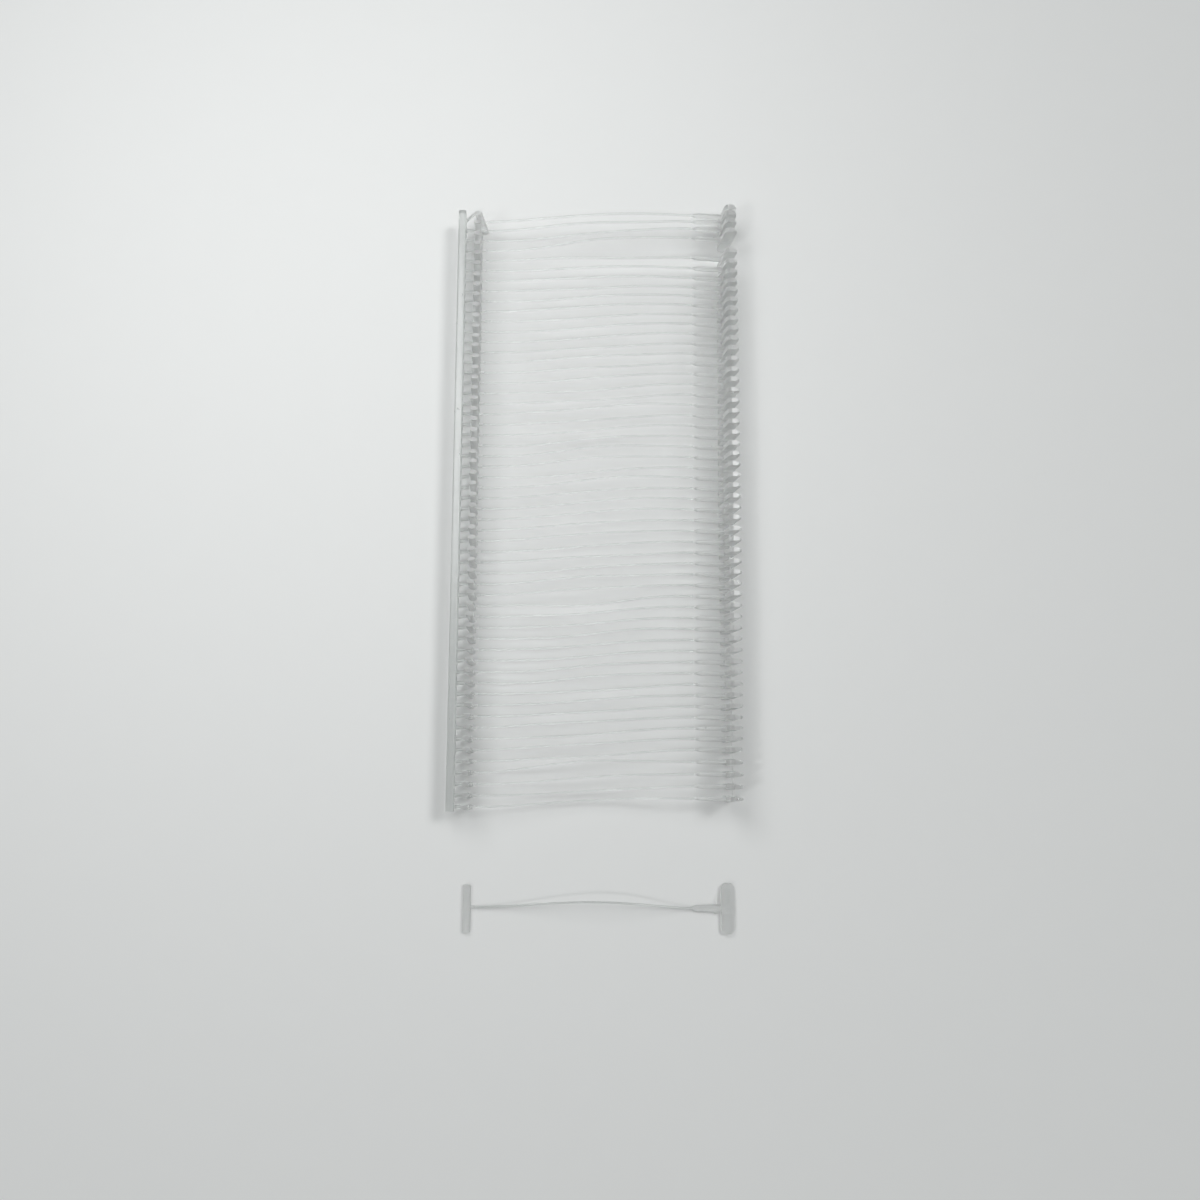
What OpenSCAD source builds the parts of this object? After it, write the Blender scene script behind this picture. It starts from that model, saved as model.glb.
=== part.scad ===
// Clip of tagging fasteners: a runner bar carries a row of T-bar fasteners by thin necks,
// and one fastener of the same shape lies loose in front of the clip.
// Millimetres, +Z up. The clip stands on the ends of its T-bars and paddles.

/* [Clip] */
// Number of fasteners on the clip
fasteners = 56; // [6:1:56]
// Distance from one fastener to the next along the clip
pitch = 2.24; // [2:0.02:3]
// How far the paddles have slid along the clip, as a share of their usual lie
slide = 1; // [0:0.1:1]
// Number of fasteners at the head whose paddles have parted from the rest of the row
parted = 4; // [1:1:5]
// Outward lean of the paddles at the two ends of the row, in degrees
lean_ends = 6; // [0:1:10]
// Outward lean of the paddles in the middle of the row, in degrees
lean_middle = 10; // [0:1:12]

/* [Runner bar] */
// Width of the bar, away from the fasteners
bar_w = 1.6; // [1.2:0.1:2.4]
// Height of the bar
bar_h = 2.2; // [1.6:0.1:3]
// Bevel along the bar's four edges
bar_bevel = 0.3; // [0.1:0.05:0.4]
// Length of bar past the first neck
bar_head = 2; // [1:0.1:4]
// Length of bar past the last neck
bar_tail = 1; // [1:0.1:4]
// Length of a neck, from the bar to the T-bar
neck_l = 1.9; // [1:0.1:3]
// Width of a neck at the bar
neck_root = 0.8; // [0.6:0.05:1]
// Width of a neck where it is cut from the T-bar
neck_tip = 0.45; // [0.3:0.05:0.6]
// Height of a neck
neck_h = 0.6; // [0.4:0.05:1]

/* [Fastener] */
// Clear length of a fastener with a straight filament, from the T-bar to the paddle
clear_l = 50.7; // [25:0.1:75]
// Length of the T-bar
tbar_l = 9.3; // [8:0.1:10]
// Width of the T-bar along the filament
tbar_w = 1.5; // [1:0.1:1.6]
// Thickness of the T-bar
tbar_t = 1; // [0.8:0.05:1.1]
// Diameter of the drawn filament
filament_d = 0.42; // [0.3:0.02:0.6]
// Length of the cone where the filament leaves the T-bar
root_l = 1.2; // [0.5:0.1:2]
// Length of the thick stem on the paddle
stem_l = 6; // [4:0.5:10]
// Height of the stem at the paddle
stem_h = 1.7; // [1.4:0.1:2]
// Height of the stem behind its taper
stem_h_tip = 1.3; // [1:0.1:1.4]
// Length of the taper from the stem down to the filament
taper_l = 0.9; // [0.5:0.1:2]
// Thickness of the stem
stem_t = 0.9; // [0.7:0.05:1]
// Length of the paddle
paddle_l = 9.9; // [9.5:0.1:12]
// Width of the paddle along the filament
paddle_w = 2.6; // [2.2:0.1:3.2]
// Thickness of the paddle
paddle_t = 1; // [0.8:0.05:1.1]
// Thickness of the paddle's outer edge
paddle_edge_t = 0.4; // [0.3:0.05:0.6]
// Thickness of the rib that carries the stem across the paddle
rib_t = 1.24; // [1.1:0.02:1.3]
// Diameter of the small link between two paddles
link_d = 0.4; // [0.3:0.05:0.6]
// Air left between a link and the next paddle's rib
link_gap = 0.08; // [0.05:0.01:0.2]

/* [Loose fastener] */
// Clear distance from the clip's last T-bar to the loose fastener's end
loose_gap = 14.9; // [5:0.1:30]
// Bow of the loose fastener's filament
loose_bow = 3.6; // [0.5:0.1:4]
// Turn of that bow from flat on the table towards straight up, in degrees
loose_rise = 67; // [0:1:80]

/* [Hidden] */
// Height at which the necks and filaments join the T-bars
axis_z = paddle_l / 2;

// Places along a fastener, from the T-bar's centre line.
neck_x = -tbar_w / 2;
bar_x = neck_x - neck_l;
outer_x = bar_x - bar_w;
paddle_x = tbar_w / 2 + clear_l;
edge_x = paddle_x + paddle_w;
middle_x = paddle_x + paddle_w / 2;
stem_x = paddle_x - stem_l;
reach = middle_x - stem_x - 0.3;
full_stem_x = stem_x + taper_l;
rib_h = stem_h - 0.3;

// Places along the clip. Fastener 0 is at the head, on the +Y side.
half_row = (fasteners - 1) / 2 * pitch;
head_y = half_row + bar_head;
tail_y = -half_row - bar_tail;
loose_y = -half_row - loose_gap - paddle_l / 2;

// Where each paddle has slid to, as fastener number and millimetres towards the head
lie_at_head = [[1, 0.95], [2, 1.8], [3, 2.45], [4, 2.6]];
lie_of_row = [[5, 0.4], [6, 0.3], [7, 0.35], [8, 0.55], [9, 0.9], [12, 1.4], [16, 1.7], [24, 1.75],
    [28, 1.95], [40, 2.03], [48, 2.1], [52, 2.5], [56, 1.85]];

// How far out the row of leaning paddles reaches
lean_most = max(lean_ends, lean_middle);
reach_x = middle_x + paddle_w / 2 + (paddle_l - paddle_w) / 2 * sin(lean_most);

// The origin is under the middle of everything.
origin_x = (outer_x + reach_x) / 2;
origin_y = (head_y + loose_y - paddle_l / 2) / 2;

function fastener_name(n) = str("fastener_", n < 10 ? "0" : "", n);
function tbar_y(i) = half_row - i * pitch;
function slip(i) = slide * lookup(i + 1, i < parted ? lie_at_head : lie_of_row);
function space_after(i) = pitch + slip(i) - slip(i + 1);
function lean(i) = lean_ends + (lean_middle - lean_ends) * sin(180 * i / (fasteners - 1));

// Height of the middle of a leaning paddle that stands on its lower end
function middle_z(lean) = paddle_w / 2 + (paddle_l - paddle_w) / 2 * cos(lean);

clear_plastic = [0.86, 0.88, 0.87, 0.75];

// The bar and its necks are one moulding: a bevelled bar and a flat comb through its middle.
module runner_bar() {
    color(clear_plastic) in_place() {
        translate([bar_x - bar_w / 2, head_y, axis_z]) rotate([90, 0, 0])
            linear_extrude(height = head_y - tail_y) bevelled(bar_w, bar_h, bar_bevel);
        translate([0, 0, axis_z - neck_h / 2]) linear_extrude(height = neck_h) polygon(comb());
    }
}

// Outline of the comb: its spine lies inside the bar, and each tooth is one neck.
function comb() = concat(
    [[bar_x - bar_w / 2, tail_y + 0.5]],
    [for (i = [fasteners - 1 : -1 : 0], p = neck(tbar_y(i))) p],
    [[bar_x - bar_w / 2, head_y - 0.5]]);

function neck(y) = [
    [bar_x - 0.2, y - neck_root / 2], [neck_x, y - neck_tip / 2],
    [neck_x, y + neck_tip / 2], [bar_x - 0.2, y + neck_root / 2]];

// A rectangle about the origin with its four corners cut.
module bevelled(w, h, cut) {
    polygon([for (q = [[1, 1], [-1, 1], [-1, -1], [1, -1]], turn = [0, 1])
        let (first = (q.x * q.y > 0) == (turn == 0))
        [q.x * (w / 2 - (first ? 0 : cut)), q.y * (h / 2 - (first ? cut : 0))]]);
}

// One fastener standing on its T-bar and paddle, with the T-bar's centre line on the Z axis
// and the filament running along +X. slip moves the paddle along +Y, lean tips it outwards,
// and next is the distance to the paddle that the link reaches for, or 0 for no link.
module fastener(slip, lean, next) {
    t_bar();
    filament([middle_x - reach * cos(lean), slip, middle_z(lean) - axis_z + reach * sin(lean)]);
    translate([middle_x, slip, middle_z(lean)]) rotate([0, lean, 0]) translate([-middle_x, 0, 0]) {
        stem();
        paddle();
        if (next > rib_t + link_gap) link(next);
    }
}

module t_bar() {
    linear_extrude(height = tbar_l) bevelled(tbar_w, tbar_t, 0.25);
}

// The filament runs straight from the T-bar to a point inside the stem's tip.
module filament(to) {
    rise = atan2(to.z, norm([to.x, to.y]));
    translate([0, 0, axis_z]) rotate([0, -rise, atan2(to.y, to.x)]) rotate([0, 90, 0]) {
        cylinder(h = norm(to), d = filament_d, $fn = 24);
        translate([0, 0, tbar_w / 2 - 0.2])
            cylinder(h = root_l, d1 = tbar_t * 0.8, d2 = filament_d, $fn = 24);
    }
}

// The stem grows towards the paddle, and goes on across it as a rib.
module stem() {
    flat_on_xz(stem_t) polygon([
        [stem_x, -filament_d / 2], [full_stem_x, -stem_h_tip / 2],
        [paddle_x + 0.2, -stem_h / 2], [paddle_x + 0.2, stem_h / 2],
        [full_stem_x, stem_h_tip / 2], [stem_x, filament_d / 2]]);
    flat_on_xz(rib_t) polygon([
        [paddle_x - 0.6, -rib_h / 2], [edge_x - 0.7, -rib_h / 2], [edge_x - 0.3, -rib_h / 4],
        [edge_x - 0.3, rib_h / 4], [edge_x - 0.7, rib_h / 2], [paddle_x - 0.6, rib_h / 2]]);
}

// A strip with round ends whose outer third thins to a narrow edge.
module paddle() {
    intersection() {
        flat_on_xz(paddle_t) paddle_outline();
        translate([0, 0, -paddle_l / 2]) linear_extrude(height = paddle_l) polygon([
            [paddle_x, -paddle_t / 2 + 0.1], [paddle_x + 0.2, -paddle_t / 2],
            [edge_x - 0.9, -paddle_t / 2], [edge_x, -paddle_edge_t / 2],
            [edge_x, paddle_edge_t / 2], [edge_x - 0.9, paddle_t / 2],
            [paddle_x + 0.2, paddle_t / 2], [paddle_x, paddle_t / 2 - 0.1]]);
    }
}

module paddle_outline() {
    end_z = (paddle_l - paddle_w) / 2;
    translate([middle_x, 0]) {
        square([paddle_w, 2 * end_z], center = true);
        for (side = [-1, 1]) translate([0, side * end_z]) circle(d = paddle_w, $fn = 48);
    }
}

module link(next) {
    translate([middle_x, -rib_t / 2 + 0.1, 0]) rotate([90, 0, 0])
        cylinder(h = next - rib_t - link_gap + 0.1, d = link_d, $fn = 24);
}

// Draws a flat outline in X and Z, and gives it a thickness about Y = 0.
module flat_on_xz(t) {
    rotate([90, 0, 0]) linear_extrude(height = t, center = true) children();
}

module in_place() {
    translate([-origin_x, -origin_y, 0]) children();
}

module clip_fastener(i) {
    color(clear_plastic) in_place() translate([0, tbar_y(i), 0])
        fastener(slip(i), lean(i), i == parted - 1 || i == fasteners - 1 ? 0 : space_after(i));
}

// The loose fastener lies flat. Its filament bows up off the table as an arc of a circle,
// which draws the stem and paddle in towards the T-bar.
module loose_fastener() {
    straight = stem_x + 0.3;
    drawn_in = 8 / 3 * loose_bow * loose_bow / straight;
    chord = straight - drawn_in;
    radius = (chord * chord / 4 + loose_bow * loose_bow) / (2 * loose_bow);
    half_turn = asin(chord / 2 / radius);
    color(clear_plastic) in_place() translate([0, loose_y, 0]) {
        translate([0, 0, tbar_t / 2]) rotate([-90, 0, 0]) translate([0, 0, -axis_z]) t_bar();
        translate([-drawn_in, 0, rib_t / 2]) rotate([-90, 0, 0]) {
            stem();
            paddle();
        }
        translate([0, 0, tbar_t / 2]) rotate([loose_rise, 0, 0])
            translate([chord / 2, loose_bow - radius, 0]) rotate([0, 0, 90 - half_turn])
            rotate_extrude(angle = 2 * half_turn, $fn = 96)
            translate([radius, 0]) circle(d = filament_d, $fn = 24);
    }
}

runner_bar();
for (i = [0 : fasteners - 1])
    clip_fastener(i);
loose_fastener();
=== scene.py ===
import math
import random

import bmesh
import bpy
from mathutils import Matrix, Vector


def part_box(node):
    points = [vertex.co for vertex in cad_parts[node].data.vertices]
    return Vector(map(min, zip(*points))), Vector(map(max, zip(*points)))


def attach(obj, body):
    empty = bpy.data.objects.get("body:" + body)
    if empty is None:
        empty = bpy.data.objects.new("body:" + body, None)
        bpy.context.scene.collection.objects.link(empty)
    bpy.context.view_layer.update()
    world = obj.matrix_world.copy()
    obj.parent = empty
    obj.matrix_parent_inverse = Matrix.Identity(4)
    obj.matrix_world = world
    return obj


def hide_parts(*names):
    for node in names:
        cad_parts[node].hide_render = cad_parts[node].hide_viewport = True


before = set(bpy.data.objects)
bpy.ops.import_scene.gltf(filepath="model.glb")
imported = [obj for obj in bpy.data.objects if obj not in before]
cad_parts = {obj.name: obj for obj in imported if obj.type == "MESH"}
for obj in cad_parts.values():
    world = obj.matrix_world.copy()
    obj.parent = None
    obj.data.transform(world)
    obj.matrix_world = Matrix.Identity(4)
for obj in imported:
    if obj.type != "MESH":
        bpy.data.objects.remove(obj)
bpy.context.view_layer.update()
mm = 0.001
print("frame loaded")


# a wire is one shader value, and sums of wires are written as sums
class Wire:
    def __init__(self, recipe, socket):
        self.recipe, self.socket = recipe, socket

    def __add__(self, other):
        return self.recipe.sum("ADD", self, other)

    def __mul__(self, other):
        return self.recipe.sum("MULTIPLY", self, other)

    __radd__, __rmul__ = __add__, __mul__


class Recipe:
    def __init__(self, name):
        self.material = bpy.data.materials.new(name)
        self.material.use_nodes = True
        self.tree = self.material.node_tree
        self.surface = self.tree.nodes["Principled BSDF"]

    def node(self, kind, settings, sockets, output=0):
        made = self.tree.nodes.new("ShaderNode" + kind)
        for name, value in settings.items():
            setattr(made, name, value)
        for name, value in sockets.items():
            self.feed(made.inputs[name], value)
        return Wire(self, made.outputs[output])

    def feed(self, socket, value):
        if isinstance(value, Wire):
            self.tree.links.new(value.socket, socket)
        else:
            socket.default_value = value

    def sum(self, operation, first, second):
        return self.node("Math", {"operation": operation}, {0: first, 1: second})

    def place(self, scale):
        where = self.node("TexCoord", {}, {}, "Object")
        return self.node("Mapping", {}, {"Vector": where, "Scale": scale})

    def noise(self, scale, detail=2.0):
        return self.node("TexNoise", {}, {"Vector": self.place(scale), "Scale": 1.0, "Detail": detail})

    def blendColours(self, factor, first, second):  # 6 and 7 are the Mix node's colours, 2 its colour result
        return self.node("Mix", {"data_type": "RGBA"}, {"Factor": factor, 6: first, 7: second}, 2)

    def bump(self, strength, depth, height):
        return self.node("Bump", {}, {"Strength": strength, "Distance": depth, "Height": height})

    def finish(self, **sockets):
        for name, value in sockets.items():
            self.feed(self.surface.inputs[name.replace("_", " ")], value)
        return self.material


plasticFinish = {
    "milk": (0.94, 0.952, 0.944, 1), "clear": (0.985, 0.992, 0.988, 1),
    "rough": 0.24, "roughSpread": 0.12, "transmission": 0.82, "ior": 1.46, "alpha": 0.82,
    "coat": 0.5, "coatRough": 0.15, "cloudSize": 1.6 * mm, "cloudDetail": 3,
    "grainSize": 0.6 * mm, "grainDepth": 0.005 * mm, "grainStrength": 0.35,
}
# the bar's denser plastic; on the loose filament the same darker colour is painted shade for its shadow line
# on the floor
barAndShadeFinish = dict(plasticFinish, milk=(0.70, 0.72, 0.71, 1), clear=(0.80, 0.82, 0.81, 1), alpha=1.0)


def mouldedPlastic(name, look):
    recipe = Recipe(name)
    clouds = recipe.noise([1 / look["cloudSize"]] * 3, look["cloudDetail"])
    grain = recipe.noise([1 / look["grainSize"]] * 3)
    bump = recipe.bump(look["grainStrength"], look["grainDepth"], grain)
    return recipe.finish(
        Base_Color=recipe.blendColours(clouds, look["milk"], look["clear"]),
        Roughness=look["rough"] + look["roughSpread"] * clouds,
        Transmission_Weight=look["transmission"], IOR=look["ior"], Alpha=look["alpha"], Normal=bump,
        Coat_Weight=look["coat"], Coat_Roughness=look["coatRough"])


drawnFinish = {
    "dull": (0.89, 0.905, 0.9, 1), "clear": (0.97, 0.98, 0.975, 1),
    "rough": 0.1, "roughSpread": 0.1, "transmission": 0.92, "ior": 1.44, "alpha": 0.88,
    "streakLength": 9 * mm, "streakWidth": 0.16 * mm, "streakDepth": 0.002 * mm, "streakStrength": 0.3,
}


def drawnPlastic():
    look = drawnFinish
    recipe = Recipe("drawnPlastic")
    streaks = recipe.noise([1 / look["streakLength"], 1 / look["streakWidth"], 1 / look["streakWidth"]])
    bump = recipe.bump(look["streakStrength"], look["streakDepth"], streaks)
    return recipe.finish(
        Base_Color=recipe.blendColours(streaks, look["dull"], look["clear"]),
        Roughness=look["rough"] + look["roughSpread"] * streaks,
        Transmission_Weight=look["transmission"], IOR=look["ior"], Alpha=look["alpha"], Normal=bump)


finishes = {
    "moulded": mouldedPlastic("mouldedPlastic", plasticFinish),
    "drawn": drawnPlastic(),
    "bar": mouldedPlastic("barAndShadePlastic", barAndShadeFinish),
}
finishSlot = {name: slot for slot, name in enumerate(finishes)}
print("finishes mixed")


def cutAcross(bm, axis, places):
    normal = Vector(axis)
    for place in places:
        everything = bm.verts[:] + bm.edges[:] + bm.faces[:]
        bmesh.ops.bisect_plane(bm, geom=everything, plane_co=normal * place, plane_no=normal)


def nearestFace(bm, point):
    return min(bm.faces, key=lambda face: (face.calc_center_median() - Vector(point)).length)


# shapes are drawn in millimetres, and become metres here
def asPiece(bm, name, body, nodes, levels):
    bmesh.ops.scale(bm, vec=(mm, mm, mm), verts=bm.verts)
    bmesh.ops.recalc_face_normals(bm, faces=bm.faces)
    mesh = bpy.data.meshes.new(name)
    bm.to_mesh(mesh)
    bm.free()
    mesh.shade_smooth()
    for finish in finishes.values():
        mesh.materials.append(finish)
    piece = bpy.data.objects.new(name, mesh)
    bpy.context.collection.objects.link(piece)
    smooth = piece.modifiers.new("smooth", "SUBSURF")
    smooth.levels = smooth.render_levels = levels
    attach(piece, body)
    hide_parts(*nodes)
    return piece


cameraSet = {
    "place": (2.275 * mm, -43.302 * mm, 246.637 * mm), "turn": (8.18, 0.27, 0.27),
    "lens": 36, "sensor": 36, "nearest": 0.01,
}


def addCamera():
    camera = bpy.data.objects.new("camera", bpy.data.cameras.new("camera"))
    camera.data.lens, camera.data.sensor_width = cameraSet["lens"], cameraSet["sensor"]
    camera.data.clip_start = cameraSet["nearest"]
    camera.location = cameraSet["place"]
    camera.rotation_euler = [math.radians(angle) for angle in cameraSet["turn"]]
    bpy.context.collection.objects.link(camera)
    bpy.context.scene.camera = camera


addCamera()

# a fastener, about the middle of its T-bar with the filament along +X; a row of a collar or a stem
# gives how far along it stands, its half width and its half height
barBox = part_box("runner_bar")
shape = {
    "tBarWidth": 1.5, "tBarThick": 1.0, "tBarLength": 9.3, "axisHeight": 4.95, "clearLength": 50.7,
    "filament": 0.42, "filamentSteps": 18, "stemLength": 6.0, "paddleLength": 9.9, "paddleWidth": 2.6,
    "paddleThick": 1.0, "edgeThick": 0.4, "outerThird": 0.9, "ribThick": 1.24, "ribHalf": 0.8,
    "ribEdge": 0.2, "squareness": 2.7, "tipLimit": 0.93, "tBarNarrowing": 0.45,
    "linkGap": 0.08, "linkSize": 0.4, "linkRoot": 0.3, "smoothShrink": 0.93,
    "collar": [(0.15, 0.3, 0.34), (0.6, 0.26, 0.28)],
}
shape["middleX"] = shape["tBarWidth"] / 2 + shape["clearLength"] + shape["paddleWidth"] / 2
shape["roundEnd"] = shape["paddleWidth"] / 2
shape["straightHalf"] = shape["paddleLength"] / 2 - shape["roundEnd"]
shape["stem"] = [
    (0.12, 0.3, 0.36), (0.5, 0.46, 0.6), (0.95, 0.49, 0.7), (3.0, 0.49, 0.76),
    (shape["stemLength"] - 0.9, 0.5, 0.84), (shape["stemLength"] - 0.2, 0.47, 0.88),
]
# where the blanks are cut so that smoothing keeps their edges
cuts = {
    "tBarEnds": (0.12, 0.5), "tBarMiddle": (-0.75, -0.25, 0.25, 0.75), "tBarWide": (-0.5, 0, 0.5),
    "tBarDeep": (-0.2, 0.2), "paddleRib": (0.7, 0.95, 1.3), "paddleTips": (0.75, 0.3, 0.08),
    "paddleSides": (0.12, 0.15), "paddleDeep": (-0.38, 0.38),
}


# the T-bar: a rod that is thickest along its middle and thins towards both sides
def tBarBlank():
    bm = bmesh.new()
    low, high = -shape["axisHeight"], shape["tBarLength"] - shape["axisHeight"]
    first, second = cuts["tBarEnds"]
    bmesh.ops.create_cube(bm, size=1)
    bmesh.ops.scale(bm, vec=(shape["tBarWidth"], shape["tBarThick"], high - low), verts=bm.verts)
    bmesh.ops.translate(bm, vec=(0, 0, (low + high) / 2), verts=bm.verts)
    cutAcross(bm, (0, 0, 1), (low + first, low + second, *cuts["tBarMiddle"], high - second, high - first))
    cutAcross(bm, (1, 0, 0), cuts["tBarWide"])
    cutAcross(bm, (0, 1, 0), cuts["tBarDeep"])
    for vert in bm.verts:
        vert.co.y *= 1 - shape["tBarNarrowing"] * (abs(vert.co.x) / (shape["tBarWidth"] / 2)) ** 2
    return bm


# the paddle, about its own middle: a strip with squared round ends, a raised rib and a thin outer edge
def paddleBlank():
    bm = bmesh.new()
    half, halfWidth = shape["paddleLength"] / 2, shape["paddleWidth"] / 2
    thinFrom = halfWidth - shape["outerThird"]
    inner, outermost = cuts["paddleSides"]
    bmesh.ops.create_cube(bm, size=1)
    size = (shape["paddleWidth"], shape["paddleThick"], shape["paddleLength"])
    bmesh.ops.scale(bm, vec=size, verts=bm.verts)
    levels = (*cuts["paddleRib"], half - halfWidth, *[half - tip for tip in cuts["paddleTips"]])
    cutAcross(bm, (0, 0, 1), [-level for level in levels[::-1]] + list(levels))
    cutAcross(bm, (1, 0, 0), (-halfWidth + inner, 0, thinFrom, halfWidth - outermost))
    cutAcross(bm, (0, 1, 0), cuts["paddleDeep"])
    for vert in bm.verts:
        height, outer = abs(vert.co.z), vert.co.x - thinFrom
        if height < shape["ribHalf"] and vert.co.x < halfWidth - shape["ribEdge"]:
            vert.co.y *= shape["ribThick"] / shape["paddleThick"]
        elif outer > 0:
            thin = shape["edgeThick"] / shape["paddleThick"]
            vert.co.y *= 1 - (1 - thin) * outer / shape["outerThird"]
        if height > shape["straightHalf"]:
            rise = min((height - shape["straightHalf"]) / halfWidth, shape["tipLimit"])
            vert.co.x *= (1 - rise ** shape["squareness"]) ** (1 / shape["squareness"])
    return bm


def keepBlank(bm):
    mesh = bpy.data.meshes.new("blank")
    bm.to_mesh(mesh)
    bm.free()
    return mesh


blanks = {"tBar": keepBlank(tBarBlank()), "paddle": keepBlank(paddleBlank())}


def addBlank(bm, name, place):
    before = set(bm.verts)
    bm.from_mesh(blanks[name])
    bmesh.ops.transform(bm, matrix=place, verts=[vert for vert in bm.verts if vert not in before])


# pulls a new rectangular ring out of a face, standing across the X axis of the place it is given
def growTo(bm, face, place, along, halfY, halfZ):
    grown = bmesh.ops.extrude_discrete_faces(bm, faces=[face])["faces"][0]
    middle, turn = grown.calc_center_median(), place.to_3x3().inverted()
    for vert in grown.verts:
        side = turn @ (vert.co - middle)
        vert.co = place @ Vector((along, math.copysign(halfY, side.y), math.copysign(halfZ, side.z)))
    return grown


# a filament wanders sideways (Y) and up or down (Z) by slow waves that vanish at its ends; its
# neighbours wander much as it does, and a bow is listed where one stands out
def wander(rng, index):
    waves = []
    for order, pace in clip["waves"]:
        shared = (math.sin(pace * index + order), math.cos(clip["upwardPace"] * pace * index - order))
        for reach, together in zip((clip["sideways"], clip["upwards"]), shared):
            own = rng.gauss(0, clip["ownPart"])
            waves.append((order, reach / order * (clip["sharedPart"] * together + own)))
    aside, aloft = clip["bows"].get(index, (0, 0))

    def offset(t):
        rise = math.sin(math.pi * t)
        swings = [size * math.sin(math.pi * order * t) * rise for order, size in waves]
        return Vector((0, sum(swings[::2]) + aside * rise ** 2, sum(swings[1::2]) + aloft * rise ** 2))
    return offset


# the even bend of a rod held at both ends, from one place's X axis to the other's
def heldBend(start, end, t):
    startPoint, endPoint = start.translation, end.translation
    span = (endPoint - startPoint).length
    startPull, endPull = start.col[0].xyz * span, end.col[0].xyz * span
    return (startPoint * (2 * t ** 3 - 3 * t ** 2 + 1) + startPull * (t ** 3 - 2 * t ** 2 + t)
            + endPoint * (3 * t ** 2 - 2 * t ** 3) + endPull * (t ** 3 - t ** 2))


def growFastener(tBarPlace, paddlePlace, offset, filamentFinish="drawn"):
    bm = bmesh.new()
    addBlank(bm, "tBar", tBarPlace)
    addBlank(bm, "paddle", paddlePlace)
    side = shape["tBarWidth"] / 2
    socketFace = nearestFace(bm, paddlePlace @ Vector((-shape["paddleWidth"] / 2, 0, 0)))
    face = nearestFace(bm, tBarPlace @ Vector((side, 0, 0)))
    for along, halfY, halfZ in shape["collar"]:
        face = growTo(bm, face, tBarPlace, side + along, halfY, halfZ)
    stemTip = -shape["paddleWidth"] / 2 - shape["stemLength"]
    start = tBarPlace @ Matrix.Translation((side + shape["collar"][-1][0], 0, 0))
    end = paddlePlace @ Matrix.Translation((stemTip, 0, 0))
    thin = shape["filament"] / 2 / shape["smoothShrink"]  # smoothing draws a square in to a thinner round
    for step in range(1, shape["filamentSteps"] + 1):
        t = step / shape["filamentSteps"]
        place = heldBend(start, end, t) + offset(t)
        face = growTo(bm, face, Matrix.Translation(place), 0, thin, thin)
        for edge in face.edges:
            for touching in edge.link_faces:
                touching.material_index = finishSlot[filamentFinish]
    face.material_index = finishSlot["moulded"]
    for along, halfY, halfZ in shape["stem"]:
        face = growTo(bm, face, paddlePlace, stemTip + along, halfY, halfZ)
    rims = list(face.edges) + list(socketFace.edges)
    bmesh.ops.delete(bm, geom=[face, socketFace], context="FACES_ONLY")
    bmesh.ops.bridge_loops(bm, edges=rims)
    return bm


def addLink(bm, paddlePlace, length):
    root = Matrix.Translation((0, -length / 2 - shape["linkRoot"], 0))
    place = paddlePlace @ root @ Matrix.Rotation(math.pi / 2, 4, "X")
    bmesh.ops.create_cone(bm, cap_ends=True, segments=8, radius1=shape["linkSize"] / 2,
                          radius2=shape["linkSize"] / 2, depth=length, matrix=place)


def placed(x, y, z, lean=0.0, roll=0.0):
    return (Matrix.Translation((x, y, z)) @ Matrix.Rotation(math.radians(lean), 4, "Y")
            @ Matrix.Rotation(math.radians(roll), 4, "X"))


# bows are sideways and upwards, for the filament at that place in the row; leans and the roll are in
# degrees, and rollShare is how much of the roll a paddle takes
clip = {
    "count": 56, "parted": 4, "barHead": 2.0, "barTail": 1.0, "leanEnds": 6.0, "leanMiddle": 10.0,
    "tBarLean": 3.5, "seed": 11, "sideways": 0.45, "upwards": 0.6, "roll": 1.0, "rollShare": 0.5,
    "waves": ((1, 0.23), (2, 0.37), (3, 0.61)), "upwardPace": 1.3, "sharedPart": 0.6, "ownPart": 0.5,
    "firstShift": (0.6, -0.3), "firstLean": -4.0,
    "bows": {17: (-0.6, 0.8), 37: (-0.5, 1.0), 52: (1.1, 1.2), 54: (0, -2.6), 55: (0.3, -3.2)},
}
clip["head"] = barBox[1][1] / mm - clip["barHead"]
clip["pitch"] = ((barBox[1][1] - barBox[0][1]) / mm - clip["barHead"] - clip["barTail"]) / (clip["count"] - 1)
clip["tBarX"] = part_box("fastener_10")[0][0] / mm + shape["tBarWidth"] / 2
neckMiddles = [clip["head"] - index * clip["pitch"] for index in range(clip["count"])]


# the first T-bar is pushed aside and leans the other way; its roll is drawn all the same,
# so that the others keep theirs
def tBarPlaceFor(index, along, rng):
    roll = rng.gauss(0, clip["roll"])
    x, y = clip["tBarX"], neckMiddles[index]
    if index == 0:
        aside, back = clip["firstShift"]
        return placed(x + aside, y + back, shape["axisHeight"], clip["firstLean"])
    return placed(x, y, shape["axisHeight"], clip["tBarLean"] * min(1, 2 - 2 * along), roll)


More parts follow.
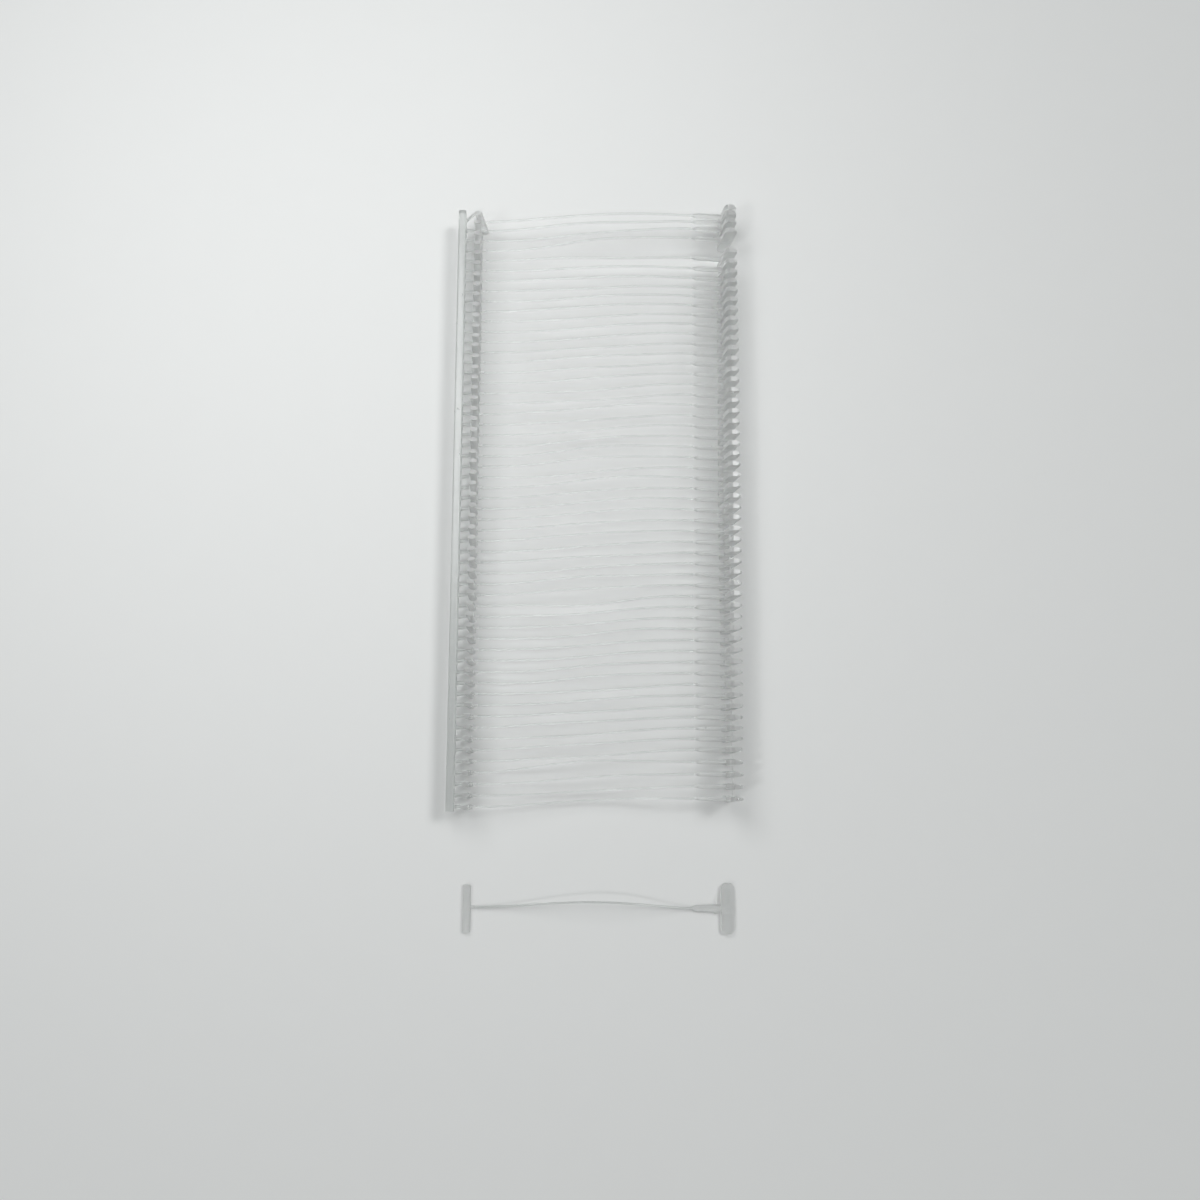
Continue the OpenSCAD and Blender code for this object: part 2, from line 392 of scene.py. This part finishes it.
def addClipFasteners():
    rng = random.Random(clip["seed"])
    names = [f"fastener_{number:02d}" for number in range(1, clip["count"] + 1)]
    paddleRow = [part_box(name)[1][1] / mm - shape["ribThick"] / 2 for name in names]
    for index, (name, paddleY) in enumerate(zip(names, paddleRow)):
        along = index / (clip["count"] - 1)
        lean = clip["leanEnds"] + (clip["leanMiddle"] - clip["leanEnds"]) * math.sin(math.pi * along)
        tBarPlace = tBarPlaceFor(index, along, rng)
        height = shape["roundEnd"] + shape["straightHalf"] * math.cos(math.radians(lean))
        paddleRoll = rng.gauss(0, clip["roll"]) * clip["rollShare"]
        paddlePlace = placed(clip["tBarX"] + shape["middleX"], paddleY, height, lean, paddleRoll)
        bm = growFastener(tBarPlace, paddlePlace, wander(rng, index))
        if index + 1 not in (clip["parted"], clip["count"]):
            space = paddleY - paddleRow[index + 1]
            addLink(bm, paddlePlace, space - shape["ribThick"] / 2 - shape["linkGap"] - shape["linkRoot"])
        asPiece(bm, name + "_moulding", name, [name], levels=2)
    print("fasteners on the clip:", len(paddleRow))


addClipFasteners()

# the torn strand goes up beside the paddle; a row gives how far along it, its distance from the
# paddle and its half width
loose = {
    "bow": 1.4, "lift": 3.3, "skew": 1.15, "drawnIn": 0.75, "shift": -0.2,
    "nub": (-2.5, 0.1, -0.85), "nubSize": 0.28, "strandRoot": (1.2, 0.4), "strandSize": 0.3,
    "torn": [(0.9, 1.15, 0.15), (1.8, 0.95, 0.11), (2.7, 0.6, 0.09), (3.5, 0.15, 0.08), (3.8, -0.05, 0.05)],
}


# a thin strand left where a link tore off
def addStrand(bm, paddlePlace):
    edge = -shape["paddleWidth"] / 2
    away, height = loose["strandRoot"]
    upright = Matrix.Rotation(-math.pi / 2, 4, "Y")
    start = paddlePlace @ Matrix.Translation((edge - away, 0, height)) @ upright
    bmesh.ops.create_cube(bm, size=loose["strandSize"], matrix=start)
    face = nearestFace(bm, start @ Vector((loose["strandSize"] / 2, 0, 0)))
    for along, away, half in loose["torn"]:
        ring = paddlePlace @ Matrix.Translation((edge - away, 0, 0)) @ upright
        face = growTo(bm, face, ring, along, half, half)


# its filament has the bar's denser, darker plastic, which is painted shade standing in for the dark shadow
# line just under it on the floor; without it the filament would be lost against the floor
def addLooseFastener():
    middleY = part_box("loose_fastener")[0][1] / mm + shape["paddleLength"] / 2
    flat = Matrix.Rotation(-math.pi / 2, 4, "X")

    def bowed(t):
        swing = math.sin(math.pi * t ** loose["skew"]) ** 1.5
        return Vector((0, loose["bow"] * swing, loose["lift"] * swing))

    paddleX = clip["tBarX"] + shape["middleX"] - loose["drawnIn"]
    tBarPlace = placed(clip["tBarX"] + loose["shift"], middleY, shape["tBarThick"] / 2) @ flat
    paddlePlace = placed(paddleX, middleY, shape["ribThick"] / 2) @ flat
    # the loose filament takes the bar's darker finish as painted shade for the shadow line under it
    bm = growFastener(tBarPlace, paddlePlace, bowed, "bar")
    addStrand(bm, paddlePlace)
    nub = paddlePlace @ Matrix.Translation(loose["nub"])
    bmesh.ops.create_uvsphere(bm, u_segments=10, v_segments=8, radius=loose["nubSize"], matrix=nub)
    asPiece(bm, "loose_fastener_moulding", "loose", ["loose_fastener"], levels=2)
    print("loose fastener laid down")


addLooseFastener()

# a row of a neck gives its distance from the bar, its bend and its half width; the first neck is
# bent up beside its shifted T-bar
bar = {
    "neckRoot": 0.8, "neckHigh": 0.6, "width": 1.6, "height": 2.2, "bevel": 0.3, "endCut": 0.12,
    "firstNeck": [(0.3, 0.1, 0.42), (0.9, 0.55, 0.4), (1.5, 0.9, 0.36), (2.1, 0.95, 0.33), (2.5, 0.85, 0.3)],
}


def addRunnerBar():
    bm = bmesh.new()
    low, high = Vector(barBox[0]) / mm, Vector(barBox[1]) / mm
    middle = (low.x + bar["width"] / 2, (low.y + high.y) / 2, shape["axisHeight"])
    halfRoot, halfHigh = bar["neckRoot"] / 2, bar["neckHigh"] / 2
    bmesh.ops.create_cube(bm, size=1)
    bmesh.ops.scale(bm, vec=(bar["width"], high.y - low.y, bar["height"]), verts=bm.verts)
    bmesh.ops.translate(bm, vec=middle, verts=bm.verts)
    longEdges = [edge for edge in bm.edges if abs(edge.verts[0].co.y - edge.verts[1].co.y) > 1]
    bmesh.ops.bevel(bm, geom=longEdges, offset=bar["bevel"], segments=2, profile=0.5,
                    affect="EDGES", material=-1)
    cutAcross(bm, (0, 1, 0), (low.y + bar["endCut"], high.y - bar["endCut"]))
    for neckY in neckMiddles:
        cutAcross(bm, (0, 1, 0), (neckY - halfRoot, neckY + halfRoot))
    cutAcross(bm, (0, 0, 1), (shape["axisHeight"] - halfHigh, shape["axisHeight"] + halfHigh))
    innerX = low.x + bar["width"]
    neck = high.x - innerX
    straight = [(0.3, 0, 0.4), (1.2, 0, 0.34), (neck - 0.15, 0, 0.3), (neck, 0, 0.28)]
    for neckY in neckMiddles:
        face = nearestFace(bm, Vector((innerX, neckY, shape["axisHeight"])))
        for along, bend, half in bar["firstNeck"] if neckY == neckMiddles[0] else straight:
            ring = Matrix.Translation((innerX, neckY + bend, shape["axisHeight"] + bend))
            face = growTo(bm, face, ring, along, half, min(half, halfHigh))
    for face in bm.faces:
        face.material_index = finishSlot["bar"]
    asPiece(bm, "runner_bar_moulding", "runner", ["runner_bar"], levels=1)
    print("runner bar drawn")


addRunnerBar()

# a lamp: its name, where it hangs, where it points, its width and its power, in metres and watts
studio = {
    "floor": (0.80, 0.812, 0.806, 1), "floorSize": 6.0, "floorRough": 0.85,
    "mottleScale": 140, "mottleDetail": 4, "mottleShade": 0.985,
    "sky": (0.98, 1.0, 1.0, 1), "skyStrength": 0.29,
    "lamps": [
        ("leftLamp", (-0.62, -0.55, 1.2), (0, 0, 0), 0.17, 2.1),
        ("rightLamp", (1.24, 0.6, 2.0), (0, 0, 0), 0.7, 17.6),
        ("deskLamp", (-0.07, 0.09, 0.20), (-0.05, 0.06, 0), 0.14, 0.192),
    ],
}


def addFloor():
    bm = bmesh.new()
    bmesh.ops.create_grid(bm, x_segments=1, y_segments=1, size=studio["floorSize"] / 2)
    mesh = bpy.data.meshes.new("floor")
    bm.to_mesh(mesh)
    bm.free()
    recipe = Recipe("paleFloor")
    mottle = recipe.noise([studio["mottleScale"]] * 3, studio["mottleDetail"])
    darker = [value * studio["mottleShade"] for value in studio["floor"][:3]] + [1]
    mesh.materials.append(recipe.finish(
        Base_Color=recipe.blendColours(mottle, studio["floor"], darker), Roughness=studio["floorRough"]))
    floor = bpy.data.objects.new("floor", mesh)
    bpy.context.collection.objects.link(floor)


def addLamp(name, place, aim, size, power):
    light = bpy.data.lights.new(name, "AREA")
    light.shape, light.size, light.energy = "DISK", size, power
    lamp = bpy.data.objects.new(name, light)
    lamp.location = place
    lamp.visible_camera = False
    lamp.rotation_euler = (Vector(aim) - Vector(place)).to_track_quat("-Z", "Y").to_euler()
    bpy.context.collection.objects.link(lamp)


def addSky():
    world = bpy.data.worlds.new("room")
    world.use_nodes = True
    background = world.node_tree.nodes["Background"]
    background.inputs["Color"].default_value = studio["sky"]
    background.inputs["Strength"].default_value = studio["skyStrength"]
    bpy.context.scene.world = world


addFloor()
for lamp in studio["lamps"]:
    addLamp(*lamp)
addSky()
bpy.context.scene.view_settings.view_transform = "Standard"
print("studio lit")
